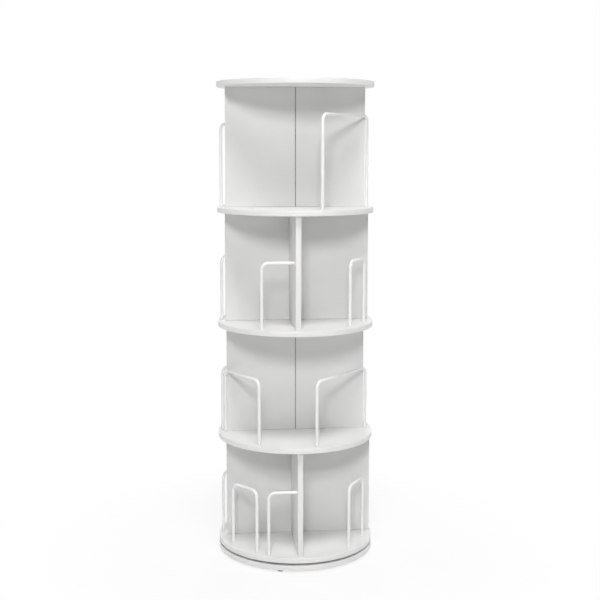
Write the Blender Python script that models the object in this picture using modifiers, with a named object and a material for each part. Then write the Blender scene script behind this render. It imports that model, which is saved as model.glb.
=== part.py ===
# Revolving bookcase with round shelves, four tiers and a ball bearing in its base.
# Units are metres. +Z is up, the axis of rotation is Z, and -Y is the front.

import math

import bmesh
import bpy
from mathutils import Vector

# Shelves
SHELF_RADIUS = 0.230
SHELF_THICKNESS = 0.015
SHELF_EDGE_ROUND = 0.0012
DISC_SEGMENTS = 96

# Clear height of each tier, between the shelf below and the shelf above
TOP_TIER_HEIGHT = 0.347
UPPER_TIER_HEIGHT = 0.321
LOWER_TIER_HEIGHT = 0.319
BOTTOM_TIER_HEIGHT = 0.305

# Upright dividers: a wall of two half boards and one stem board in every tier
DIVIDER_THICKNESS = 0.015
DIVIDER_EDGE_ROUND = 0.0008
STEM_INSET = 0.018
TURNED_DIVIDER_INSET = 0.025
UPPER_WALL_LEFT_INSET = 0.0225
UPPER_WALL_RIGHT_INSET = 0.0135
BOTTOM_WALL_LEFT_INSET = 0.0225
BOTTOM_WALL_RIGHT_INSET = 0.0045
UPPER_STEM_OFFSET = 0.019
STEM_OFFSET = 0.013
WALL_SEAM = 0.0006

# Guard wires of bent steel rod
ROD_DIAMETER = 0.009
ROD_BEND_RADIUS = 0.020
ROD_BEND_STEPS = 6
GUARD_INSET = 0.0195
REAR_GUARD_INSET = 0.012
GUARD_WALL_CLEARANCE = 0.0009
GUARD_HEADROOM = 0.129
BOTTOM_GUARD_HEADROOM = 0.1175
TOP_GUARD_HEADROOM = 0.0775
TOP_REAR_GUARD_HEADROOM = 0.102

# Where the guard legs stand, in degrees from the stem around the axis
BAY_GUARD_ANGLE = 15.5
LOWER_BAY_GUARD_ANGLE = 11.4
SHORT_BAY_GUARD_ANGLE = 34.8
SIDE_GUARD_ANGLE = 43.6
SIDE_GUARD_SPREAD = 27.4
SIDE_GUARD_INSET = 0.023
LEFT_SIDE_GUARD_ANGLE = 36.7
LEFT_SIDE_GUARD_INSET = 0.0166

# Reach of the two guards that end in a stem, from the stem's face to the leg
UPPER_STEM_GUARD_REACH = 0.0935
UPPER_STEM_GUARD_SETBACK = 0.0312
BOTTOM_STEM_GUARD_REACH = 0.0822
BOTTOM_STEM_GUARD_SETBACK = 0.0179

# Base board and its glides
BASE_RADIUS = 0.230
BASE_THICKNESS = 0.015
GLIDE_RADIUS = 0.011
GLIDE_HEIGHT = 0.006
GLIDE_INSET = 0.018
GLIDE_COUNT = 4
GLIDE_TURN = -17.0
GLIDE_EDGE_ROUND = 0.001
GLIDE_SEGMENTS = 20

# Ball bearing between the base board and the lowest shelf
PLATE_THICKNESS = 0.0014
PLATE_OUTER_RADIUS = 0.075
BALL_DIAMETER = 0.003
BALL_CIRCLE_RADIUS = 0.050
BALL_COUNT = 12
BALL_SEGMENTS = 10
BALL_RINGS = 6
CAGE_THICKNESS = 0.001
CAGE_HALF_WIDTH = 0.005
SLEEVE_OUTER_RADIUS = 0.010
SLEEVE_WALL = 0.002
PLATE_SEGMENTS = 48

# Screws that hold the two bearing plates
SCREW_HEAD_RADIUS = 0.0035
SCREW_HEAD_HEIGHT = 0.0013
SCREW_CROWN_RADIUS = 0.0025
SCREW_RIM_HEIGHT = 0.0006
SCREW_SHANK_RADIUS = 0.00175
SCREW_LENGTH = 0.009
SCREW_COUNT = 4
BASE_SCREW_CIRCLE = 0.066
SHELF_SCREW_CIRCLE = 0.032
SCREW_SEGMENTS = 12

# Clearances
SEAT_GAP = 0.0003
BORE_CLEARANCE = 0.0003
BORE_END_ROOM = 0.001
CUT_OVERRUN = 0.002

# Levels above the floor
BASE_BOTTOM = GLIDE_HEIGHT + SEAT_GAP
BASE_TOP = BASE_BOTTOM + BASE_THICKNESS
LOWER_PLATE_TOP = BASE_TOP + SEAT_GAP + PLATE_THICKNESS
BALL_CENTRE = LOWER_PLATE_TOP + SEAT_GAP + BALL_DIAMETER / 2
UPPER_PLATE_BOTTOM = BALL_CENTRE + BALL_DIAMETER / 2 + SEAT_GAP
UPPER_PLATE_TOP = UPPER_PLATE_BOTTOM + PLATE_THICKNESS
CASE_BOTTOM = UPPER_PLATE_TOP + SEAT_GAP
BOTTOM_FLOOR = CASE_BOTTOM + SHELF_THICKNESS
LOWER_FLOOR = BOTTOM_FLOOR + BOTTOM_TIER_HEIGHT + SHELF_THICKNESS
UPPER_FLOOR = LOWER_FLOOR + LOWER_TIER_HEIGHT + SHELF_THICKNESS
TOP_FLOOR = UPPER_FLOOR + UPPER_TIER_HEIGHT + SHELF_THICKNESS
CASE_TOP = TOP_FLOOR + TOP_TIER_HEIGHT + SHELF_THICKNESS

ROD_RADIUS = ROD_DIAMETER / 2
GUARD_CIRCLE = SHELF_RADIUS - GUARD_INSET
REAR_GUARD_CIRCLE = SHELF_RADIUS - REAR_GUARD_INSET
SIDE_GUARD_CIRCLE = SHELF_RADIUS - SIDE_GUARD_INSET
LEFT_SIDE_GUARD_CIRCLE = SHELF_RADIUS - LEFT_SIDE_GUARD_INSET


# Scene and collections

def clear_scene():
    for old in list(bpy.data.objects):
        bpy.data.objects.remove(old, do_unlink=True)


def make_collection(name):
    collection = bpy.data.collections.new(name)
    bpy.context.scene.collection.children.link(collection)
    return collection


def make_material(name, colour, roughness, metallic=0.0):
    material = bpy.data.materials.new(name)
    material.use_nodes = True
    shader = material.node_tree.nodes["Principled BSDF"]
    shader.inputs["Base Color"].default_value = (*colour, 1.0)
    shader.inputs["Roughness"].default_value = roughness
    shader.inputs["Metallic"].default_value = metallic
    material.diffuse_color = (*colour, 1.0)
    return material


clear_scene()
parts = make_collection("revolving_bookcase")
cutters = make_collection("cutters")


# Object helpers

def add_object(name, data, material, parent=None, location=(0, 0, 0)):
    item = bpy.data.objects.new(name, data)
    item.location = location
    item.parent = parent
    data.materials.append(material)
    parts.objects.link(item)
    return item


def add_empty(name, parent=None, location=(0, 0, 0), turn=0.0):
    item = bpy.data.objects.new(name, None)
    item.empty_display_size = 0.05
    item.location = location
    item.rotation_euler = (0, 0, math.radians(turn))
    item.parent = parent
    parts.objects.link(item)
    return item


def mesh_from(name, build):
    mesh = bpy.data.meshes.new(name)
    shape = bmesh.new()
    build(shape)
    shape.to_mesh(mesh)
    shape.free()
    return mesh


def cylinder_mesh(name, radius, height, segments):
    def build(shape):
        bmesh.ops.create_cone(shape, cap_ends=True, segments=segments,
                              radius1=radius, radius2=radius, depth=height)
    return mesh_from(name, build)


def box_mesh(name, size):
    def build(shape):
        bmesh.ops.create_cube(shape, size=1.0)
        bmesh.ops.scale(shape, vec=Vector(size), verts=shape.verts)
    return mesh_from(name, build)


def sphere_mesh(name, radius):
    def build(shape):
        bmesh.ops.create_uvsphere(shape, u_segments=BALL_SEGMENTS, v_segments=BALL_RINGS,
                                  radius=radius)
    mesh = mesh_from(name, build)
    mesh.shade_smooth()
    return mesh


def smooth_sides(mesh, angle=40.0):
    mesh.shade_smooth()
    mesh.set_sharp_from_angle(angle=math.radians(angle))


def round_edges(item, width, segments=1):
    bevel = item.modifiers.new("rounded_edges", "BEVEL")
    bevel.width = width
    bevel.segments = segments
    bevel.limit_method = "ANGLE"
    bevel.angle_limit = math.radians(40)


def add_turned(name, profile, segments, material, parent=None, location=(0, 0, 0), closed=True):
    """A solid of revolution. Its profile runs down the outer side; an open one ends on the axis."""
    mesh = bpy.data.meshes.new(name)
    edges = [(i, i + 1) for i in range(len(profile) - 1)]
    if closed:
        edges.append((len(profile) - 1, 0))
    mesh.from_pydata([(radius, 0.0, height) for radius, height in profile], edges, [])
    item = add_object(name, mesh, material, parent, location)
    screw = item.modifiers.new("turned", "SCREW")
    screw.axis = "Z"
    screw.angle = math.tau
    screw.steps = segments
    screw.render_steps = segments
    screw.use_merge_vertices = True
    screw.merge_threshold = 0.00001
    screw.use_smooth_shade = False
    return item


def add_bores(item, points, radius, bottom, top):
    for number, (x, y) in enumerate(points, 1):
        mesh = cylinder_mesh(f"{item.name}_bore", radius, top - bottom, SCREW_SEGMENTS)
        cutter = bpy.data.objects.new(f"{item.name}_bore_{number}", mesh)
        cutter.location = (x, y, (bottom + top) / 2)
        cutter.hide_render = True
        cutter.display_type = "WIRE"
        cutters.objects.link(cutter)
        cut = item.modifiers.new(f"bore_{number}", "BOOLEAN")
        cut.operation = "DIFFERENCE"
        cut.object = cutter


def circle_points(radius, count, turn=0.0):
    angles = [math.radians(turn) + math.tau * i / count for i in range(count)]
    return [(radius * math.cos(a), radius * math.sin(a)) for a in angles]


def from_stem(radius, degrees):
    """A point around the axis, at an angle from the stem's direction (-Y) towards +X."""
    angle = math.radians(degrees)
    return Vector((radius * math.sin(angle), -radius * math.cos(angle), 0.0))


# Rod paths

def bend(before, corner, after, radius, steps):
    """Points of the arc that rounds one square corner of a rod."""
    start = corner + (before - corner).normalized() * radius
    end = corner + (after - corner).normalized() * radius
    centre = start + end - corner
    points = []
    for i in range(steps + 1):
        angle = math.pi / 2 * i / steps
        points.append(centre + (start - centre) * math.cos(angle) + (end - centre) * math.sin(angle))
    return points


def rod_path(corners):
    points = [corners[0]]
    for before, corner, after in zip(corners, corners[1:], corners[2:]):
        points += bend(before, corner, after, ROD_BEND_RADIUS, ROD_BEND_STEPS)
    points.append(corners[-1])
    return points


def add_rod(name, corners, material, parent):
    points = rod_path(corners)
    curve = bpy.data.curves.new(name, "CURVE")
    curve.dimensions = "3D"
    curve.bevel_depth = ROD_RADIUS
    curve.bevel_resolution = 3
    curve.use_fill_caps = True
    spline = curve.splines.new("POLY")
    spline.points.add(len(points) - 1)
    for target, point in zip(spline.points, points):
        target.co = (*point, 1.0)
    return add_object(name, curve, material, parent)


def add_arch_guard(name, tier, first, second, height, material):
    """A guard like a staple: two legs on the shelf and a bar across their tops."""
    up = Vector((0, 0, height - ROD_RADIUS))
    foot = Vector((0, 0, SEAT_GAP))
    corners = [first + foot, first + up, second + up, second + foot]
    return add_rod(name, corners, material, tier)


def add_stem_guard(name, tier, stem_offset, reach, setback, height, material):
    """A guard with one leg, whose bar ends in the left face of the stem."""
    face = -stem_offset
    y = -(SHELF_RADIUS - STEM_INSET - setback)
    foot = Vector((face - reach, y, SEAT_GAP))
    top = Vector((face - reach, y, height - ROD_RADIUS))
    end = Vector((face - SEAT_GAP, y, height - ROD_RADIUS))
    return add_rod(name, [foot, top, end], material, tier)


def beside_wall(circle, side, front):
    """Where a leg stands on its circle, close to one face of the wall's end."""
    y = front * (DIVIDER_THICKNESS / 2 + GUARD_WALL_CLEARANCE + ROD_RADIUS)
    x = side * math.sqrt(circle ** 2 - y ** 2)
    return Vector((x, y, 0.0))


# Materials
laminate = make_material("white_laminate", (0.86, 0.86, 0.85), 0.45)
rim_laminate = make_material("shelf_laminate", (0.88, 0.88, 0.87), 0.42)
rod_paint = make_material("white_rod_paint", (0.90, 0.90, 0.89), 0.35)
glide_plastic = make_material("dark_glide_plastic", (0.05, 0.05, 0.05), 0.6)
plate_steel = make_material("zinc_plate", (0.55, 0.56, 0.57), 0.35, 1.0)
ball_steel = make_material("bearing_ball_steel", (0.62, 0.62, 0.63), 0.15, 1.0)
cage_plastic = make_material("cage_plastic", (0.10, 0.10, 0.11), 0.5)
sleeve_plastic = make_material("sleeve_plastic", (0.80, 0.80, 0.78), 0.5)
screw_steel = make_material("screw_steel", (0.60, 0.60, 0.58), 0.3, 1.0)


# Base

def add_disc(name, radius, thickness, bottom, material, parent):
    mesh = cylinder_mesh(name, radius, thickness, DISC_SEGMENTS)
    smooth_sides(mesh)
    offset = parent.location.z if parent else 0.0
    disc = add_object(name, mesh, material, parent, (0, 0, bottom + thickness / 2 - offset))
    round_edges(disc, SHELF_EDGE_ROUND, 2)
    return disc


base_board = add_disc("base_board", BASE_RADIUS, BASE_THICKNESS, BASE_BOTTOM, rim_laminate, None)

glide_mesh = cylinder_mesh("glide", GLIDE_RADIUS, GLIDE_HEIGHT, GLIDE_SEGMENTS)
smooth_sides(glide_mesh)
glide_points = circle_points(BASE_RADIUS - GLIDE_INSET, GLIDE_COUNT, GLIDE_TURN - 90)
for number, (glide_x, glide_y) in enumerate(glide_points, 1):
    glide = add_object(f"glide_{number}", glide_mesh.copy(), glide_plastic, None,
                       (glide_x, glide_y, GLIDE_HEIGHT / 2))
    round_edges(glide, GLIDE_EDGE_ROUND)


# Ball bearing

def ring_profile(inner, outer, bottom, top):
    return [(outer, top), (outer, bottom), (inner, bottom), (inner, top)]


case_pivot = add_empty("case_pivot", None, (0, 0, CASE_BOTTOM))
cage_pivot = add_empty("cage_pivot", None, (0, 0, BALL_CENTRE))

plate_bore = SLEEVE_OUTER_RADIUS + BORE_CLEARANCE
sleeve_height = UPPER_PLATE_TOP - BASE_TOP - SEAT_GAP
base_screw_points = circle_points(BASE_SCREW_CIRCLE, SCREW_COUNT, 45)
shelf_screw_points = circle_points(SHELF_SCREW_CIRCLE, SCREW_COUNT, 45)
screw_bore = SCREW_SHANK_RADIUS + BORE_CLEARANCE
bore_depth = SCREW_LENGTH - PLATE_THICKNESS + BORE_END_ROOM

lower_plate = add_turned("bearing_lower_plate",
                         ring_profile(plate_bore, PLATE_OUTER_RADIUS, 0.0, PLATE_THICKNESS),
                         PLATE_SEGMENTS, plate_steel, None, (0, 0, BASE_TOP + SEAT_GAP))
upper_plate = add_turned("bearing_upper_plate",
                         ring_profile(plate_bore, PLATE_OUTER_RADIUS, 0.0, PLATE_THICKNESS),
                         PLATE_SEGMENTS, plate_steel, case_pivot,
                         (0, 0, UPPER_PLATE_BOTTOM - CASE_BOTTOM))
pivot_sleeve = add_turned("pivot_sleeve",
                          ring_profile(SLEEVE_OUTER_RADIUS - SLEEVE_WALL, SLEEVE_OUTER_RADIUS,
                                       0.0, sleeve_height),
                          PLATE_SEGMENTS // 2, sleeve_plastic, None, (0, 0, BASE_TOP + SEAT_GAP))
cage = add_turned("bearing_cage",
                  ring_profile(BALL_CIRCLE_RADIUS - CAGE_HALF_WIDTH,
                               BALL_CIRCLE_RADIUS + CAGE_HALF_WIDTH,
                               -CAGE_THICKNESS / 2, CAGE_THICKNESS / 2),
                  PLATE_SEGMENTS, cage_plastic, cage_pivot)

# Each ball stands at the middle of one facet of the cage
ball_points = circle_points(BALL_CIRCLE_RADIUS, BALL_COUNT, 180 / PLATE_SEGMENTS)
add_bores(cage, ball_points, BALL_DIAMETER / 2 + BORE_CLEARANCE,
          BALL_CENTRE - CAGE_THICKNESS / 2 - CUT_OVERRUN,
          BALL_CENTRE + CAGE_THICKNESS / 2 + CUT_OVERRUN)
for number, (ball_x, ball_y) in enumerate(ball_points, 1):
    add_object(f"bearing_ball_{number:02d}", sphere_mesh("ball", BALL_DIAMETER / 2), ball_steel,
               cage_pivot, (ball_x, ball_y, 0))


# Bearing screws

def screw_profile():
    """Half section of a pan head screw, head up, with its seat at height 0."""
    return [(0.0, SCREW_HEAD_HEIGHT),
            (SCREW_CROWN_RADIUS, SCREW_HEAD_HEIGHT),
            (SCREW_HEAD_RADIUS, SCREW_RIM_HEIGHT),
            (SCREW_HEAD_RADIUS, 0.0),
            (SCREW_SHANK_RADIUS, 0.0),
            (SCREW_SHANK_RADIUS, -SCREW_LENGTH + SCREW_SHANK_RADIUS),
            (0.0, -SCREW_LENGTH)]


def add_screw(name, x, y, seat, parent, upside_down):
    offset = parent.location.z if parent else 0.0
    item = add_turned(name, screw_profile(), SCREW_SEGMENTS, screw_steel, parent,
                      (x, y, seat - offset), closed=False)
    if upside_down:
        item.rotation_euler = (math.pi, 0, 0)


for number, (screw_x, screw_y) in enumerate(base_screw_points, 1):
    add_screw(f"base_plate_screw_{number}", screw_x, screw_y, LOWER_PLATE_TOP + SEAT_GAP, None, False)
for number, (screw_x, screw_y) in enumerate(shelf_screw_points, 1):
    add_screw(f"shelf_plate_screw_{number}", screw_x, screw_y, UPPER_PLATE_BOTTOM - SEAT_GAP,
              case_pivot, True)

add_bores(lower_plate, base_screw_points, screw_bore, BASE_TOP - CUT_OVERRUN,
          LOWER_PLATE_TOP + CUT_OVERRUN)
add_bores(upper_plate, shelf_screw_points, screw_bore, UPPER_PLATE_BOTTOM - CUT_OVERRUN,
          UPPER_PLATE_TOP + CUT_OVERRUN)
add_bores(base_board, base_screw_points, screw_bore, BASE_TOP - bore_depth, BASE_TOP + CUT_OVERRUN)


# Shelves

bottom_shelf = add_disc("bottom_shelf", SHELF_RADIUS, SHELF_THICKNESS, CASE_BOTTOM,
                        rim_laminate, case_pivot)
add_bores(bottom_shelf, shelf_screw_points, screw_bore, CASE_BOTTOM - CUT_OVERRUN,
          CASE_BOTTOM + bore_depth)
add_disc("lower_shelf", SHELF_RADIUS, SHELF_THICKNESS, LOWER_FLOOR - SHELF_THICKNESS,
         rim_laminate, case_pivot)
add_disc("middle_shelf", SHELF_RADIUS, SHELF_THICKNESS, UPPER_FLOOR - SHELF_THICKNESS,
         rim_laminate, case_pivot)
add_disc("upper_shelf", SHELF_RADIUS, SHELF_THICKNESS, TOP_FLOOR - SHELF_THICKNESS,
         rim_laminate, case_pivot)
add_disc("top_board", SHELF_RADIUS, SHELF_THICKNESS, CASE_TOP - SHELF_THICKNESS,
         rim_laminate, case_pivot)


# Dividers

def add_divider(name, tier, size, centre):
    mesh = box_mesh(name, size)
    board = add_object(name, mesh, laminate, tier, centre)
    round_edges(board, DIVIDER_EDGE_ROUND)


def add_half_wall(name, tier, height, side, inset):
    """One half of the wall along X, from the seam on the axis to a tip short of the rim."""
    length = SHELF_RADIUS - inset - WALL_SEAM / 2
    size = (length, DIVIDER_THICKNESS, height - 2 * SEAT_GAP)
    centre = (side * (WALL_SEAM / 2 + length / 2), 0, height / 2)
    add_divider(name, tier, size, centre)


def add_stem(name, tier, height, inset, offset):
    """The board along -Y of the tier. Its left face lies at the offset from the axis."""
    start = DIVIDER_THICKNESS / 2 + SEAT_GAP
    length = SHELF_RADIUS - inset - start
    size = (DIVIDER_THICKNESS, length, height - 2 * SEAT_GAP)
    centre = (DIVIDER_THICKNESS / 2 - offset, -start - length / 2, height / 2)
    add_divider(name, tier, size, centre)


def add_tier(name, floor, turn):
    return add_empty(f"{name}_pivot", case_pivot, (0, 0, floor - CASE_BOTTOM), turn)


top_tier = add_tier("top_tier", TOP_FLOOR, 180)
upper_tier = add_tier("upper_tier", UPPER_FLOOR, 0)
lower_tier = add_tier("lower_tier", LOWER_FLOOR, 180)
bottom_tier = add_tier("bottom_tier", BOTTOM_FLOOR, 0)

# The top and the lower tier are turned half way round, so their +X side is the left one
add_half_wall("top_tier_wall_left", top_tier, TOP_TIER_HEIGHT, 1, TURNED_DIVIDER_INSET)
add_half_wall("top_tier_wall_right", top_tier, TOP_TIER_HEIGHT, -1, TURNED_DIVIDER_INSET)
add_stem("top_tier_stem", top_tier, TOP_TIER_HEIGHT, TURNED_DIVIDER_INSET, STEM_OFFSET)

add_half_wall("upper_tier_wall_left", upper_tier, UPPER_TIER_HEIGHT, -1, UPPER_WALL_LEFT_INSET)
add_half_wall("upper_tier_wall_right", upper_tier, UPPER_TIER_HEIGHT, 1, UPPER_WALL_RIGHT_INSET)
add_stem("upper_tier_stem", upper_tier, UPPER_TIER_HEIGHT, STEM_INSET, UPPER_STEM_OFFSET)

add_half_wall("lower_tier_wall_left", lower_tier, LOWER_TIER_HEIGHT, 1, TURNED_DIVIDER_INSET)
add_half_wall("lower_tier_wall_right", lower_tier, LOWER_TIER_HEIGHT, -1, TURNED_DIVIDER_INSET)
add_stem("lower_tier_stem", lower_tier, LOWER_TIER_HEIGHT, TURNED_DIVIDER_INSET, STEM_OFFSET)

add_half_wall("bottom_tier_wall_left", bottom_tier, BOTTOM_TIER_HEIGHT, -1, BOTTOM_WALL_LEFT_INSET)
add_half_wall("bottom_tier_wall_right", bottom_tier, BOTTOM_TIER_HEIGHT, 1, BOTTOM_WALL_RIGHT_INSET)
add_stem("bottom_tier_stem", bottom_tier, BOTTOM_TIER_HEIGHT, STEM_INSET, STEM_OFFSET)


# Guards

def add_bay_guard(name, tier, circle, angle, side, height):
    """A wide guard across one side of the half round bay behind the wall."""
    near_stem_line = from_stem(circle, 180 + side * angle)
    at_wall = beside_wall(circle, -side, 1)
    add_arch_guard(name, tier, near_stem_line, at_wall, height, rod_paint)


def add_corner_guard(name, tier, circle, angle, height):
    """A wide guard across the quarter bay between the stem and the wall on the +X side."""
    near_stem = from_stem(circle, angle)
    at_wall = beside_wall(circle, 1, -1)
    add_arch_guard(name, tier, near_stem, at_wall, height, rod_paint)


def add_side_guard(name, tier, circle, angle, spread, side, height):
    """A narrow guard at one side of a quarter bay."""
    first = from_stem(circle, side * angle)
    second = from_stem(circle, side * (angle + spread))
    add_arch_guard(name, tier, first, second, height, rod_paint)


top_guard_height = TOP_TIER_HEIGHT - TOP_GUARD_HEADROOM
top_rear_guard_height = TOP_TIER_HEIGHT - TOP_REAR_GUARD_HEADROOM
upper_guard_height = UPPER_TIER_HEIGHT - GUARD_HEADROOM
lower_guard_height = LOWER_TIER_HEIGHT - GUARD_HEADROOM
bottom_guard_height = BOTTOM_TIER_HEIGHT - BOTTOM_GUARD_HEADROOM

add_bay_guard("top_tier_front_guard", top_tier, GUARD_CIRCLE, BAY_GUARD_ANGLE, 1,
              top_guard_height)
add_corner_guard("top_tier_rear_guard", top_tier, REAR_GUARD_CIRCLE, BAY_GUARD_ANGLE,
                 top_rear_guard_height)

add_stem_guard("upper_tier_stem_guard", upper_tier, UPPER_STEM_OFFSET, UPPER_STEM_GUARD_REACH,
               UPPER_STEM_GUARD_SETBACK, upper_guard_height, rod_paint)
add_side_guard("upper_tier_right_guard", upper_tier, SIDE_GUARD_CIRCLE, SIDE_GUARD_ANGLE,
               SIDE_GUARD_SPREAD, 1, upper_guard_height)
add_bay_guard("upper_tier_rear_guard", upper_tier, REAR_GUARD_CIRCLE, BAY_GUARD_ANGLE, 1,
              upper_guard_height)

add_bay_guard("lower_tier_front_right_guard", lower_tier, GUARD_CIRCLE, LOWER_BAY_GUARD_ANGLE, 1,
              lower_guard_height)
add_bay_guard("lower_tier_front_left_guard", lower_tier, GUARD_CIRCLE, SHORT_BAY_GUARD_ANGLE, -1,
              lower_guard_height)
add_corner_guard("lower_tier_rear_guard", lower_tier, REAR_GUARD_CIRCLE, BAY_GUARD_ANGLE,
                 lower_guard_height)

add_stem_guard("bottom_tier_stem_guard", bottom_tier, STEM_OFFSET, BOTTOM_STEM_GUARD_REACH,
               BOTTOM_STEM_GUARD_SETBACK, bottom_guard_height, rod_paint)
add_side_guard("bottom_tier_right_guard", bottom_tier, SIDE_GUARD_CIRCLE, SIDE_GUARD_ANGLE,
               SIDE_GUARD_SPREAD, 1, bottom_guard_height)
add_side_guard("bottom_tier_left_guard", bottom_tier, LEFT_SIDE_GUARD_CIRCLE,
               LEFT_SIDE_GUARD_ANGLE, SIDE_GUARD_SPREAD, -1, bottom_guard_height)
add_bay_guard("bottom_tier_rear_guard", bottom_tier, REAR_GUARD_CIRCLE, BAY_GUARD_ANGLE, 1,
              bottom_guard_height)
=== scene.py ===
# Revolving bookcase: looks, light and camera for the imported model.
# Units are metres. +Z is up, the axis of rotation is Z, and -Y is the front.

import math

import bmesh
import bpy
from mathutils import Matrix, Vector


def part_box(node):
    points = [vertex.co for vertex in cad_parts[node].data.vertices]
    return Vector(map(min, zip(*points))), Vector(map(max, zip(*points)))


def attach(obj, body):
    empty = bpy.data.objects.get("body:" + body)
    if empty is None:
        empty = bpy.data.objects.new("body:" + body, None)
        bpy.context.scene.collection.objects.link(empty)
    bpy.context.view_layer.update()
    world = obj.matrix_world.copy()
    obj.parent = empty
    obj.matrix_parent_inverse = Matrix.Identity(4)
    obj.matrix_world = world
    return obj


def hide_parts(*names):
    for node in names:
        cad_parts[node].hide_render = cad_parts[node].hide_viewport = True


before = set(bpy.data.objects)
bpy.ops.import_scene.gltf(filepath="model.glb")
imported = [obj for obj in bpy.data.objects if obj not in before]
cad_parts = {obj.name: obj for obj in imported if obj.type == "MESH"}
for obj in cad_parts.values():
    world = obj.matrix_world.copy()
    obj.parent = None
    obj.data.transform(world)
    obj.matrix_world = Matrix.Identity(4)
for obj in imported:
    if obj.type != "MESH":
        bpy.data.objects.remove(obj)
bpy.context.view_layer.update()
scene = bpy.context.scene
scene.view_settings.view_transform = "Standard"


# Node helpers

NOISE_LOW = 0.30        # a noise stays mostly between these two values
NOISE_HIGH = 0.70
CLOUD_LOW = 0.35        # a narrower band gives clouds with more contrast
CLOUD_HIGH = 0.65
COLOUR_A = 6            # sockets of the Mix node when it mixes colours
COLOUR_B = 7
COLOUR_RESULT = 2


class Shader:
    """A material's node tree with short calls for the nodes used here."""

    def __init__(self, name, colour, roughness, metallic=0.0, specular=0.5):
        self.material = bpy.data.materials.new(name)
        self.material.use_nodes = True
        self.nodes = self.material.node_tree.nodes
        self.links = self.material.node_tree.links
        self.bsdf = self.nodes["Principled BSDF"]
        self.set("Base Color", (*colour, 1.0))
        self.set("Roughness", roughness)
        self.set("Metallic", metallic)
        self.set("Specular IOR Level", specular)
        self.coordinates = self.nodes.new("ShaderNodeTexCoord").outputs["Object"]

    def set(self, socket, value):
        self.bsdf.inputs[socket].default_value = value

    def join(self, source, target):
        self.links.new(source, target)

    def feed(self, source, socket):
        self.links.new(source, self.bsdf.inputs[socket])

    def scaled(self, scale):
        """Object coordinates, stretched along the axes."""
        node = self.nodes.new("ShaderNodeMapping")
        node.inputs["Scale"].default_value = scale
        self.join(self.coordinates, node.inputs["Vector"])
        return node.outputs["Vector"]

    def noise(self, scale, detail=2.0, roughness=0.5, vector=None):
        node = self.nodes.new("ShaderNodeTexNoise")
        node.inputs["Scale"].default_value = scale
        node.inputs["Detail"].default_value = detail
        node.inputs["Roughness"].default_value = roughness
        self.join(vector or self.coordinates, node.inputs["Vector"])
        return node.outputs["Fac"]

    def cells(self, scale, output):
        node = self.nodes.new("ShaderNodeTexVoronoi")
        node.inputs["Scale"].default_value = scale
        self.join(self.coordinates, node.inputs["Vector"])
        return node.outputs[output]

    def spread(self, value, low, high, to_low, to_high):
        node = self.nodes.new("ShaderNodeMapRange")
        node.inputs["From Min"].default_value = low
        node.inputs["From Max"].default_value = high
        node.inputs["To Min"].default_value = to_low
        node.inputs["To Max"].default_value = to_high
        self.join(value, node.inputs["Value"])
        return node.outputs["Result"]

    def around(self, value, middle, below, above):
        """A noise, spread from `below` under the middle value to `above` over it."""
        return self.spread(value, NOISE_LOW, NOISE_HIGH, middle - below, middle + above)

    def total(self, first, second):
        node = self.nodes.new("ShaderNodeMath")
        node.operation = "ADD"
        self.join(first, node.inputs[0])
        self.join(second, node.inputs[1])
        return node.outputs["Value"]

    def mix(self, factor, first, second):
        node = self.nodes.new("ShaderNodeMix")
        node.data_type = "RGBA"
        self.join(factor, node.inputs["Factor"])
        for number, value in ((COLOUR_A, first), (COLOUR_B, second)):
            if isinstance(value, tuple):
                node.inputs[number].default_value = (*value, 1.0)
            else:
                self.join(value, node.inputs[number])
        return node.outputs[COLOUR_RESULT]

    def clouded(self, value, first, second):
        """A colour that drifts between two tones with a noise."""
        return self.mix(self.spread(value, CLOUD_LOW, CLOUD_HIGH, 0.0, 1.0), first, second)

    def bump(self, height, strength, distance, below=None):
        node = self.nodes.new("ShaderNodeBump")
        node.inputs["Strength"].default_value = strength
        node.inputs["Distance"].default_value = distance
        self.join(height, node.inputs["Height"])
        if below is not None:
            self.join(below, node.inputs["Normal"])
        return node.outputs["Normal"]


def toned(colour, factor):
    return tuple(min(1.0, c * factor) for c in colour)


# Materials

def laminate(name, colour, roughness):
    """White melamine face: pearl grain, faint clouding and uneven sheen."""
    shader = Shader(name, colour, roughness, specular=0.42)
    clouds = shader.noise(scale=4.5, detail=3.0, roughness=0.55)
    grain = shader.noise(scale=850.0, detail=2.0, roughness=0.6)
    drift = shader.clouded(clouds, toned(colour, 0.965), toned(colour, 1.015))
    flecks = shader.spread(grain, low=0.60, high=0.78, to_low=0.0, to_high=0.35)
    shader.feed(shader.mix(flecks, drift, toned(colour, 0.90)), "Base Color")
    sheen = shader.total(shader.around(clouds, roughness, below=0.05, above=0.05),
                         shader.around(grain, 0.0, below=0.03, above=0.03))
    shader.feed(sheen, "Roughness")
    wave = shader.bump(shader.noise(scale=38.0, detail=1.0), strength=0.05, distance=0.0006)
    shader.feed(shader.bump(grain, strength=0.16, distance=0.00012, below=wave), "Normal")
    return shader.material


def edge_band(name, colour, roughness):
    """White plastic band on a board's edge: smoother than the face, with drawn lines along it."""
    shader = Shader(name, colour, roughness, specular=0.5)
    drawn = shader.noise(scale=1.0, detail=3.0, roughness=0.6,
                         vector=shader.scaled((14.0, 14.0, 900.0)))
    clouds = shader.noise(scale=9.0, detail=2.0, roughness=0.5)
    shader.feed(shader.clouded(clouds, toned(colour, 0.97), colour), "Base Color")
    shader.feed(shader.around(drawn, roughness, below=0.05, above=0.06), "Roughness")
    shader.feed(shader.bump(drawn, strength=0.12, distance=0.00008), "Normal")
    return shader.material


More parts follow.
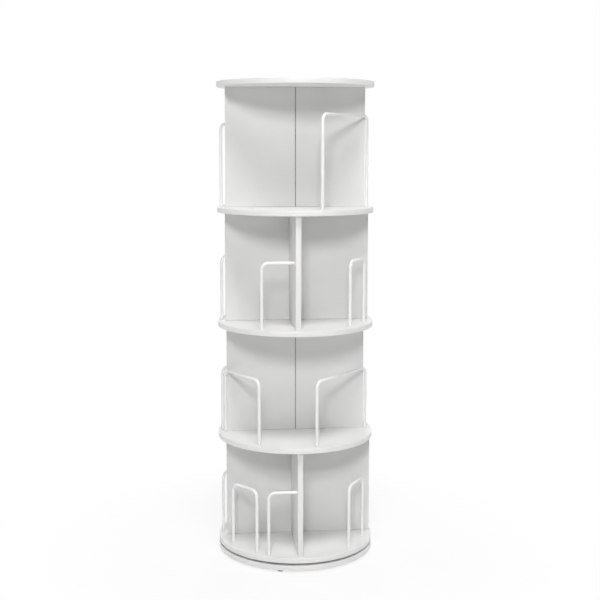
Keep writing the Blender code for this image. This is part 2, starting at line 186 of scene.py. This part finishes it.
def particle_board(name, colour, roughness):
    """Raw sawn end of the board: pressed chips in several browns, partly painted shade of the
    seam where boards meet.
    """
    shader = Shader(name, colour, roughness, specular=0.2)
    chips = shader.cells(650.0, "Color")
    pores = shader.noise(scale=1500.0, detail=3.0, roughness=0.6)
    grey = shader.nodes.new("ShaderNodeRGBToBW")
    shader.join(chips, grey.inputs["Color"])
    browns = shader.spread(grey.outputs["Val"], low=0.2, high=0.8, to_low=0.0, to_high=1.0)
    shader.feed(shader.mix(browns, toned(colour, 0.6), toned(colour, 1.5)), "Base Color")
    shader.feed(shader.around(pores, roughness, below=0.1, above=0.1), "Roughness")
    shader.feed(shader.bump(pores, strength=0.5, distance=0.0003), "Normal")
    return shader.material


def powder_coat(name, colour, roughness):
    """Satin white powder coat on steel rod, with its fine orange peel."""
    shader = Shader(name, colour, roughness, specular=0.5)
    shader.set("Coat Weight", 0.15)
    shader.set("Coat Roughness", 0.2)
    peel = shader.noise(scale=520.0, detail=2.0, roughness=0.45)
    clouds = shader.noise(scale=22.0, detail=2.0, roughness=0.5)
    shader.feed(shader.clouded(clouds, toned(colour, 0.97), colour), "Base Color")
    shader.feed(shader.around(peel, roughness, below=0.04, above=0.07), "Roughness")
    shader.feed(shader.bump(peel, strength=0.3, distance=0.00015), "Normal")
    return shader.material


def plastic(name, colour, roughness):
    """Moulded plastic with an eroded grain and slightly rubbed high spots."""
    shader = Shader(name, colour, roughness, specular=0.4)
    grain = shader.noise(scale=1400.0, detail=3.0, roughness=0.6)
    clouds = shader.noise(scale=60.0, detail=2.0, roughness=0.5)
    rubbed = tuple(min(1.0, c * 1.35 + 0.01) for c in colour)
    high_spots = shader.spread(grain, low=0.5, high=0.75, to_low=0.0, to_high=0.6)
    shader.feed(shader.mix(high_spots, colour, rubbed), "Base Color")
    shader.feed(shader.around(clouds, roughness, below=0.08, above=0.08), "Roughness")
    shader.feed(shader.bump(grain, strength=0.35, distance=0.0002), "Normal")
    return shader.material


def zinc(name, colour, roughness):
    """Bright zinc plating: faint spangle, rolling lines and a bluish to straw tint."""
    shader = Shader(name, colour, roughness, metallic=1.0)
    spangle = shader.cells(210.0, "Distance")
    tint = shader.noise(scale=28.0, detail=3.0, roughness=0.6)
    red, green, blue = colour
    bluish = (red * 0.94, green * 0.98, blue * 1.04)
    straw = (red * 1.04, green, blue * 0.92)
    shader.feed(shader.clouded(tint, bluish, straw), "Base Color")
    rolled = shader.noise(scale=1.0, detail=3.0, roughness=0.6,
                          vector=shader.scaled((2400.0, 40.0, 40.0)))
    spangled = shader.spread(spangle, low=0.0, high=0.8,
                             to_low=roughness - 0.06, to_high=roughness + 0.08)
    shader.feed(shader.total(spangled, shader.around(rolled, 0.0, below=0.04, above=0.04)),
                "Roughness")
    shader.feed(shader.bump(rolled, strength=0.15, distance=0.00006), "Normal")
    return shader.material


def polished_steel(name, colour, roughness):
    """Hardened ball steel with hairline scuffs in its polish."""
    shader = Shader(name, colour, roughness, metallic=1.0)
    scuffs = shader.noise(scale=2600.0, detail=4.0, roughness=0.7,
                          vector=shader.scaled((1.0, 1.0, 0.25)))
    haze = shader.noise(scale=700.0, detail=2.0, roughness=0.5)
    shader.feed(shader.clouded(haze, toned(colour, 0.9), colour), "Base Color")
    dulled = shader.spread(scuffs, low=0.35, high=0.75,
                           to_low=roughness, to_high=roughness + 0.12)
    shader.feed(dulled, "Roughness")
    return shader.material


face_laminate = laminate("white_laminate", (0.84, 0.84, 0.83), 0.42)
shelf_laminate = laminate("shelf_laminate", (0.84, 0.84, 0.83), 0.40)
band_laminate = edge_band("edge_band", (0.87, 0.87, 0.86), 0.34)
joint_line = edge_band("joint_line", (0.55, 0.54, 0.51), 0.6)
# Raw chipboard on the dividers' inner ends: partly the real cut end, partly painted shade of the
# seam where the boards meet
chipboard_and_seam_shade = particle_board("chipboard_and_seam_shade", (0.36, 0.30, 0.23), 0.85)
rod_paint = powder_coat("white_rod_paint", (0.94, 0.94, 0.935), 0.30)
glide_plastic = plastic("dark_glide_plastic", (0.045, 0.045, 0.045), 0.55)
cage_plastic = plastic("cage_plastic", (0.08, 0.08, 0.085), 0.5)
sleeve_plastic = plastic("sleeve_plastic", (0.80, 0.80, 0.77), 0.45)
plate_zinc = zinc("zinc_plate", (0.60, 0.61, 0.62), 0.34)
screw_zinc = zinc("screw_steel", (0.64, 0.63, 0.60), 0.28)
ball_steel = polished_steel("bearing_ball_steel", (0.66, 0.66, 0.67), 0.10)


# Piece helpers

SHARP_ANGLE = math.radians(32.0)
ON_AXIS = 1e-7


def add_piece(name, mesh, materials, body, slot, *nodes):
    """A finished piece that stands for its CAD nodes and moves with their body."""
    piece = bpy.data.objects.new(name, mesh)
    for material in materials:
        mesh.materials.append(material)
    scene.collection.objects.link(piece)
    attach(piece, body)
    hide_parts(*nodes)


def settle(elements, place):
    """Orders a shape's elements by their places, since the order they come in varies by run."""
    in_order = sorted(elements, key=lambda element: tuple(place(element)))
    ranks = {element: rank for rank, element in enumerate(in_order)}
    elements.sort(key=ranks.get)


def finish_mesh(name, shape):
    """Turns a shape into a mesh, smooth but for the edges sharper than SHARP_ANGLE."""
    bmesh.ops.recalc_face_normals(shape, faces=shape.faces)
    settle(shape.verts, lambda vert: vert.co)
    settle(shape.faces, lambda face: face.calc_center_median())
    mesh = bpy.data.meshes.new(name)
    shape.to_mesh(mesh)
    shape.free()
    mesh.shade_smooth()
    mesh.set_sharp_from_angle(angle=SHARP_ANGLE)
    return mesh


def arc(centre_r, centre_z, radius, start, end, steps):
    """Points of (radius, height) on an arc between two angles in degrees."""
    points = []
    for i in range(steps + 1):
        angle = math.radians(start + (end - start) * i / steps)
        points.append((centre_r + radius * math.cos(angle), centre_z + radius * math.sin(angle)))
    return points


def lathe(name, profile, segments, material_at=None):
    """Turns a profile of (radius, height) round the axis; both ends are at radius 0."""
    shape = bmesh.new()
    rings = []
    for radius, height in profile:
        if radius < ON_AXIS:
            rings.append([shape.verts.new((0.0, 0.0, height))])
            continue
        ring = []
        for i in range(segments):
            angle = math.tau * i / segments
            place = (radius * math.cos(angle), radius * math.sin(angle), height)
            ring.append(shape.verts.new(place))
        rings.append(ring)
    for number, (first, second) in enumerate(zip(rings, rings[1:])):
        for i in range(segments):
            j = (i + 1) % segments
            if len(first) == 1:
                face = shape.faces.new((first[0], second[j], second[i]))
            elif len(second) == 1:
                face = shape.faces.new((first[i], first[j], second[0]))
            else:
                face = shape.faces.new((first[i], first[j], second[j], second[i]))
            if material_at:
                face.material_index = material_at(number)
    return finish_mesh(name, shape)


# Round boards with their edge bands

BAND_THICKNESS = 0.0010
JOINT_WIDTH = 0.00025       # the glue line between face and band
JOINT_DEPTH = 0.00018
RIM_ROUND = 0.0012
RIM_STEPS = 6
DISC_SEGMENTS = 288
FACE = 0                    # places in the boards' lists of materials
BAND = 1
JOINT = 2
# raw chipboard end, partly painted shade of the seam
CHIPBOARD_AND_SEAM_SHADE = 3


def round_board(node, body):
    low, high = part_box(node)
    radius = high.x
    bottom, top = low.z, high.z
    joint = radius - RIM_ROUND - BAND_THICKNESS
    upper = [(0.0, top), (joint - JOINT_WIDTH * 2, top), (joint - JOINT_WIDTH, top),
             (joint - JOINT_WIDTH / 2, top - JOINT_DEPTH), (joint, top)]
    rim = arc(radius - RIM_ROUND, top - RIM_ROUND, RIM_ROUND, 90, 0, RIM_STEPS)
    rim += arc(radius - RIM_ROUND, bottom + RIM_ROUND, RIM_ROUND, 0, -90, RIM_STEPS)
    lower = [(r, bottom + top - z) for r, z in reversed(upper)]
    first_band = len(upper) - 1
    last_band = len(upper) + len(rim) - 1

    def part_at(number):
        return BAND if first_band <= number <= last_band else FACE

    mesh = lathe(f"{node}_look", upper + rim + lower, DISC_SEGMENTS, part_at)
    add_piece(f"{node}_look", mesh, (shelf_laminate, band_laminate), body, "shelf_laminate", node)


for node in ("bottom_shelf", "lower_shelf", "middle_shelf", "upper_shelf", "top_board"):
    round_board(node, "case")
round_board("base_board", "base")


# Upright dividers with a banded outer edge and a raw inner end, whose dark chipboard is partly
# painted shade of the seam

CHIPBOARD_SHADE_DEPTH = 0.0009            # how far the raw end reaches in, just past its roundings; its dark chipboard there is partly painted shade of the seam
UPRIGHT_ROUND = 0.0008
UPRIGHT_STEPS = 3
FACE_TOLERANCE = 1e-6
WIDTH_AXIS = 0
DEPTH_AXIS = 1


def divider(node, along, outward):
    """A board whose edge at the outward end of axis `along` carries a band."""
    low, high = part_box(node)
    size = high - low
    half = size[along] / 2
    band_start = half - BAND_THICKNESS - UPRIGHT_ROUND
    chipboard_shade_start = CHIPBOARD_SHADE_DEPTH - half
    shape = bmesh.new()
    bmesh.ops.create_cube(shape, size=1.0)
    bmesh.ops.scale(shape, vec=size, verts=shape.verts)
    bmesh.ops.bevel(shape, geom=list(shape.edges), offset=UPRIGHT_ROUND, segments=UPRIGHT_STEPS,
                    profile=0.5, affect="EDGES", clamp_overlap=True)
    normal = Vector((0.0, 0.0, 0.0))
    normal[along] = 1.0
    for place in (band_start, band_start - JOINT_WIDTH, chipboard_shade_start):
        geometry = list(shape.verts) + list(shape.edges) + list(shape.faces)
        bmesh.ops.bisect_plane(shape, geom=geometry, plane_co=normal * (outward * place),
                               plane_no=normal)
    limit = band_start + FACE_TOLERANCE
    for face in shape.faces:
        middle = face.calc_center_median()[along] * outward
        if middle > limit:
            face.material_index = BAND
        elif limit - JOINT_WIDTH < middle < limit:
            face.material_index = JOINT
        # the inner end and its roundings: raw chipboard, dark as painted shade of the seam
        elif middle < chipboard_shade_start:
            face.material_index = CHIPBOARD_AND_SEAM_SHADE
    bmesh.ops.translate(shape, vec=(low + high) / 2, verts=shape.verts)
    add_piece(f"{node}_look", finish_mesh(f"{node}_look", shape),
              (face_laminate, band_laminate, joint_line, chipboard_and_seam_shade), "case",
              "divider_laminate", node)


for tier in ("bottom_tier", "lower_tier", "upper_tier", "top_tier"):
    divider(f"{tier}_wall_left", WIDTH_AXIS, -1)
    divider(f"{tier}_wall_right", WIDTH_AXIS, 1)
    stem_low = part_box(f"{tier}_stem")[0]
    divider(f"{tier}_stem", DEPTH_AXIS, 1 if stem_low.y > 0 else -1)


# Guards of bent rod

ROD_RADIUS = 0.0045
ROD_BEND = 0.020
ROD_SIDES = 24
BEND_STEPS = 14
TIP_ROUND = 0.0006


def rod_line(corners):
    """Centre line of a rod: straight runs joined by quarter bends."""
    points = [corners[0]]
    for before, corner, after in zip(corners, corners[1:], corners[2:]):
        start = (before - corner).normalized() * ROD_BEND
        end = (after - corner).normalized() * ROD_BEND
        for i in range(BEND_STEPS + 1):
            angle = math.pi / 2 * i / BEND_STEPS
            points.append(corner + start + end - end * math.cos(angle) - start * math.sin(angle))
    points.append(corners[-1])
    return points


def rod_ring(shape, centre, along, side, radius):
    across = along.cross(side)
    ring = []
    for i in range(ROD_SIDES):
        angle = math.tau * i / ROD_SIDES
        outward = side * math.cos(angle) + across * math.sin(angle)
        ring.append(shape.verts.new(centre + outward * radius))
    return ring


def rod_mesh(name, corners):
    """A rod of round section with slightly rounded tips."""
    points = rod_line(corners)
    side = (corners[1] - corners[0]).cross(corners[2] - corners[1]).normalized()
    first_way = (points[1] - points[0]).normalized()
    last_way = (points[-1] - points[-2]).normalized()
    tip_radius = ROD_RADIUS - TIP_ROUND
    shape = bmesh.new()
    rings = [rod_ring(shape, points[0], first_way, side, tip_radius),
             rod_ring(shape, points[0] + first_way * TIP_ROUND, first_way, side, ROD_RADIUS)]
    for before, point, after in zip(points, points[1:], points[2:]):
        rings.append(rod_ring(shape, point, (after - before).normalized(), side, ROD_RADIUS))
    rings.append(rod_ring(shape, points[-1] - last_way * TIP_ROUND, last_way, side, ROD_RADIUS))
    rings.append(rod_ring(shape, points[-1], last_way, side, tip_radius))
    for first, second in zip(rings, rings[1:]):
        for i in range(ROD_SIDES):
            j = (i + 1) % ROD_SIDES
            shape.faces.new((first[i], first[j], second[j], second[i]))
    shape.faces.new(rings[0])
    shape.faces.new(rings[-1])
    return finish_mesh(name, shape)


def add_guard(node, corners):
    mesh = rod_mesh(f"{node}_look", corners)
    add_piece(f"{node}_look", mesh, (rod_paint,), "case", "rod_paint", node)


def arch_guard(node, falling=False):
    """A guard with two legs, which stand at two opposite corners of the node's box."""
    low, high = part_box(node)
    near, far = low.y + ROD_RADIUS, high.y - ROD_RADIUS
    if falling:
        near, far = far, near
    left, right = low.x + ROD_RADIUS, high.x - ROD_RADIUS
    bar = high.z - ROD_RADIUS
    add_guard(node, [Vector((left, near, low.z)), Vector((left, near, bar)),
                     Vector((right, far, bar)), Vector((right, far, low.z))])


def stem_guard(node):
    """A guard with one leg, whose bar runs to the stem on its right."""
    low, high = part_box(node)
    left, bar = low.x + ROD_RADIUS, high.z - ROD_RADIUS
    middle = (low.y + high.y) / 2
    add_guard(node, [Vector((left, middle, low.z)), Vector((left, middle, bar)),
                     Vector((high.x, middle, bar))])


for node in ("top_tier_front_guard", "top_tier_rear_guard", "upper_tier_right_guard",
             "upper_tier_rear_guard", "lower_tier_front_right_guard", "lower_tier_rear_guard",
             "bottom_tier_right_guard", "bottom_tier_rear_guard"):
    arch_guard(node)
for node in ("lower_tier_front_left_guard", "bottom_tier_left_guard"):
    arch_guard(node, falling=True)
for node in ("upper_tier_stem_guard", "bottom_tier_stem_guard"):
    stem_guard(node)


# Glides with a pressed flange, a waist and a rounded foot

GLIDE_SEGMENTS = 64
FLANGE_STEPS = 4
FOOT_STEPS = 6
FLANGE_ROUND = 0.0005
FLANGE_LIP = 0.0014         # from the top down to the middle of the flange's lower rounding
FLANGE_CHAMFER = 0.0008
WAIST_INSET = 0.0011
WAIST_TOP = 0.0023          # from the top
WAIST_FOOT = 0.0022         # from the floor
FOOT_ROUND = 0.0014
FOOT_DISH_OUTER = 0.42      # shares of the radius, for the hollow under the foot
FOOT_DISH_INNER = 0.36
FOOT_DISH_RISE = 0.0005
FOOT_DISH_MIDDLE = 0.0007


def glide(node):
    low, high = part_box(node)
    radius, height = (high.x - low.x) / 2, high.z - low.z
    waist = radius - WAIST_INSET
    flange = radius - FLANGE_ROUND
    profile = [(0.0, height), (radius - FLANGE_CHAMFER, height)]
    profile += arc(flange, height - FLANGE_ROUND, FLANGE_ROUND, 90, 0, FLANGE_STEPS)
    profile += arc(flange, height - FLANGE_LIP, FLANGE_ROUND, 0, -90, FLANGE_STEPS)
    profile += [(waist, height - WAIST_TOP), (waist, WAIST_FOOT)]
    profile += arc(waist - FOOT_ROUND, FOOT_ROUND, FOOT_ROUND, 0, -90, FOOT_STEPS)
    profile += [(radius * FOOT_DISH_OUTER, 0.0), (radius * FOOT_DISH_INNER, FOOT_DISH_RISE),
                (0.0, FOOT_DISH_MIDDLE)]
    mesh = lathe(f"{node}_look", profile, GLIDE_SEGMENTS)
    mesh.transform(Matrix.Translation(((low.x + high.x) / 2, (low.y + high.y) / 2, low.z)))
    add_piece(f"{node}_look", mesh, (glide_plastic,), "base", "glide_plastic", node)


for number in range(1, 5):
    glide(f"glide_{number}")


# Bearing balls

BALL_SEGMENTS = 36
BALL_RINGS = 24


def ball(node):
    low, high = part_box(node)
    shape = bmesh.new()
    bmesh.ops.create_uvsphere(shape, u_segments=BALL_SEGMENTS, v_segments=BALL_RINGS,
                              radius=(high.z - low.z) / 2)
    bmesh.ops.translate(shape, vec=(low + high) / 2, verts=shape.verts)
    add_piece(f"{node}_look", finish_mesh(f"{node}_look", shape), (ball_steel,), "ball_row",
              "ball_steel", node)


for number in range(1, 13):
    ball(f"bearing_ball_{number:02d}")


# Bearing parts whose CAD shape stays

def dress(material, *nodes):
    for node in nodes:
        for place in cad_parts[node].material_slots:
            place.material = material


dress(plate_zinc, "bearing_lower_plate", "bearing_upper_plate")
dress(cage_plastic, "bearing_cage")
dress(sleeve_plastic, "pivot_sleeve")
dress(screw_zinc, *(f"base_plate_screw_{number}" for number in range(1, 5)))
dress(screw_zinc, *(f"shelf_plate_screw_{number}" for number in range(1, 5)))


# Camera, fitted to the rims of the boards, the guards and the walls

CAMERA_TURN = math.radians(-5.65)
CAMERA_DISTANCE = 3.2677
CAMERA_HEIGHT = 1.2150
CAMERA_PITCH = math.radians(6.7782)
FOCAL_PIXELS = 1107.90
FRAME_PIXELS = 600
CENTRE_X = 295.20           # pixel that the camera points at, from the left and from the top
CENTRE_Y = 276
SENSOR = 36.0

camera_data = bpy.data.cameras.new("camera")
camera_data.sensor_width = SENSOR
camera_data.lens = FOCAL_PIXELS / FRAME_PIXELS * SENSOR
camera_data.shift_x = (FRAME_PIXELS / 2 - CENTRE_X) / FRAME_PIXELS
camera_data.shift_y = (CENTRE_Y - FRAME_PIXELS / 2) / FRAME_PIXELS
camera_data.clip_start = 0.05
camera_data.clip_end = 60.0
camera = bpy.data.objects.new("camera", camera_data)
camera.location = (CAMERA_DISTANCE * math.sin(CAMERA_TURN),
                   -CAMERA_DISTANCE * math.cos(CAMERA_TURN), CAMERA_HEIGHT)
camera.rotation_euler = (math.radians(90) - CAMERA_PITCH, 0.0, CAMERA_TURN)
scene.collection.objects.link(camera)
scene.camera = camera


# Floor and backdrop: white where the camera sees them, apart from the shadow near the base

WHITE = (1.0, 1.0, 1.0, 1.0)
FLOOR_COLOUR = (0.93, 0.93, 0.93, 1.0)
FLOOR_RADIUS = 9.0
FLOOR_SEGMENTS = 96
NEAR_FADE = (0.16, 0.228, 0.82)     # start and end of a fade to white, and the share it adds
FAR_FADE = (0.27, 0.95, 0.18)
SOFT_WORLD = 0.04


def seen_share(nodes, links):
    """1 for what the camera sees, also in a gloss or through glass; 0 where light is gathered."""
    path = nodes.new("ShaderNodeLightPath")
    share = path.outputs["Is Camera Ray"]
    for ray in ("Is Glossy Ray", "Is Transmission Ray"):
        either = nodes.new("ShaderNodeMath")
        either.operation = "MAXIMUM"
        links.new(share, either.inputs[0])
        links.new(path.outputs[ray], either.inputs[1])
        share = either.outputs["Value"]
    return share


def fade_to(nodes, links, distance, start, end, height):
    node = nodes.new("ShaderNodeMapRange")
    node.interpolation_type = "SMOOTHSTEP"
    node.inputs["From Min"].default_value = start
    node.inputs["From Max"].default_value = end
    node.inputs["To Max"].default_value = height
    links.new(distance, node.inputs["Value"])
    return node.outputs["Result"]


def blend_surfaces(nodes, links, factor, first, second, output):
    mix = nodes.new("ShaderNodeMixShader")
    links.new(factor, mix.inputs[0])
    links.new(first, mix.inputs[1])
    links.new(second, mix.inputs[2])
    links.new(mix.outputs["Shader"], output.inputs["Surface"])


def floor_material():
    material = bpy.data.materials.new("studio_floor")
    material.use_nodes = True
    nodes = material.node_tree.nodes
    links = material.node_tree.links
    nodes.clear()
    output = nodes.new("ShaderNodeOutputMaterial")
    matt = nodes.new("ShaderNodeBsdfDiffuse")
    matt.inputs["Color"].default_value = FLOOR_COLOUR
    white = nodes.new("ShaderNodeEmission")
    white.inputs["Color"].default_value = WHITE
    white.inputs["Strength"].default_value = 1.0
    place = nodes.new("ShaderNodeTexCoord")
    distance = nodes.new("ShaderNodeVectorMath")
    distance.operation = "LENGTH"
    links.new(place.outputs["Object"], distance.inputs[0])
    fade = nodes.new("ShaderNodeMath")
    fade.operation = "ADD"
    links.new(fade_to(nodes, links, distance.outputs["Value"], *NEAR_FADE), fade.inputs[0])
    links.new(fade_to(nodes, links, distance.outputs["Value"], *FAR_FADE), fade.inputs[1])
    factor = nodes.new("ShaderNodeMath")
    factor.operation = "MULTIPLY"
    links.new(fade.outputs["Value"], factor.inputs[0])
    links.new(seen_share(nodes, links), factor.inputs[1])
    blend_surfaces(nodes, links, factor.outputs["Value"], matt.outputs["BSDF"],
                   white.outputs["Emission"], output)
    return material


floor_mesh = bpy.data.meshes.new("floor")
floor_shape = bmesh.new()
bmesh.ops.create_circle(floor_shape, cap_ends=True, segments=FLOOR_SEGMENTS,
                        radius=FLOOR_RADIUS)
floor_shape.to_mesh(floor_mesh)
floor_shape.free()
floor_mesh.materials.append(floor_material())
floor = bpy.data.objects.new("floor", floor_mesh)
scene.collection.objects.link(floor)


def studio_world():
    world = bpy.data.worlds.new("studio")
    scene.world = world
    world.use_nodes = True
    nodes = world.node_tree.nodes
    links = world.node_tree.links
    nodes.clear()
    output = nodes.new("ShaderNodeOutputWorld")
    soft = nodes.new("ShaderNodeBackground")
    soft.inputs["Color"].default_value = WHITE
    soft.inputs["Strength"].default_value = SOFT_WORLD
    white = nodes.new("ShaderNodeBackground")
    white.inputs["Color"].default_value = WHITE
    white.inputs["Strength"].default_value = 1.0
    blend_surfaces(nodes, links, seen_share(nodes, links), soft.outputs["Background"],
                   white.outputs["Background"], output)


studio_world()


# Soft studio lamps: name, place, height of the point on the axis that it faces, side of the
# square, watts, and whether glossy faces mirror it. The lamps behind would glare on the shelves.

LAMPS = (
    ("key_lamp", (-0.7, -5.2, 3.4), 0.75, 1.1, 118.0, True),
    ("fill_lamp", (2.8, -3.6, 2.2), 0.65, 1.6, 6.0, True),
    ("top_lamp", (0.0, -2.4, 5.4), 0.6, 1.6, 159.0, True),
    ("left_lamp", (-4.2, 2.4, 1.9), 0.65, 2.0, 58.0, False),
    ("right_lamp", (4.2, 2.4, 1.9), 0.65, 2.0, 58.0, False),
    ("back_lamp", (0.8, 5.2, 2.0), 0.75, 1.4, 96.0, False),
)


def soft_lamp(name, place, facing, side, power, mirrored):
    data = bpy.data.lights.new(name, "AREA")
    data.shape = "SQUARE"
    data.size = side
    data.energy = power
    lamp = bpy.data.objects.new(name, data)
    lamp.location = place
    direction = Vector((0.0, 0.0, facing)) - Vector(place)
    lamp.rotation_euler = direction.to_track_quat("-Z", "Y").to_euler()
    lamp.visible_glossy = mirrored
    scene.collection.objects.link(lamp)


for lamp_values in LAMPS:
    soft_lamp(*lamp_values)
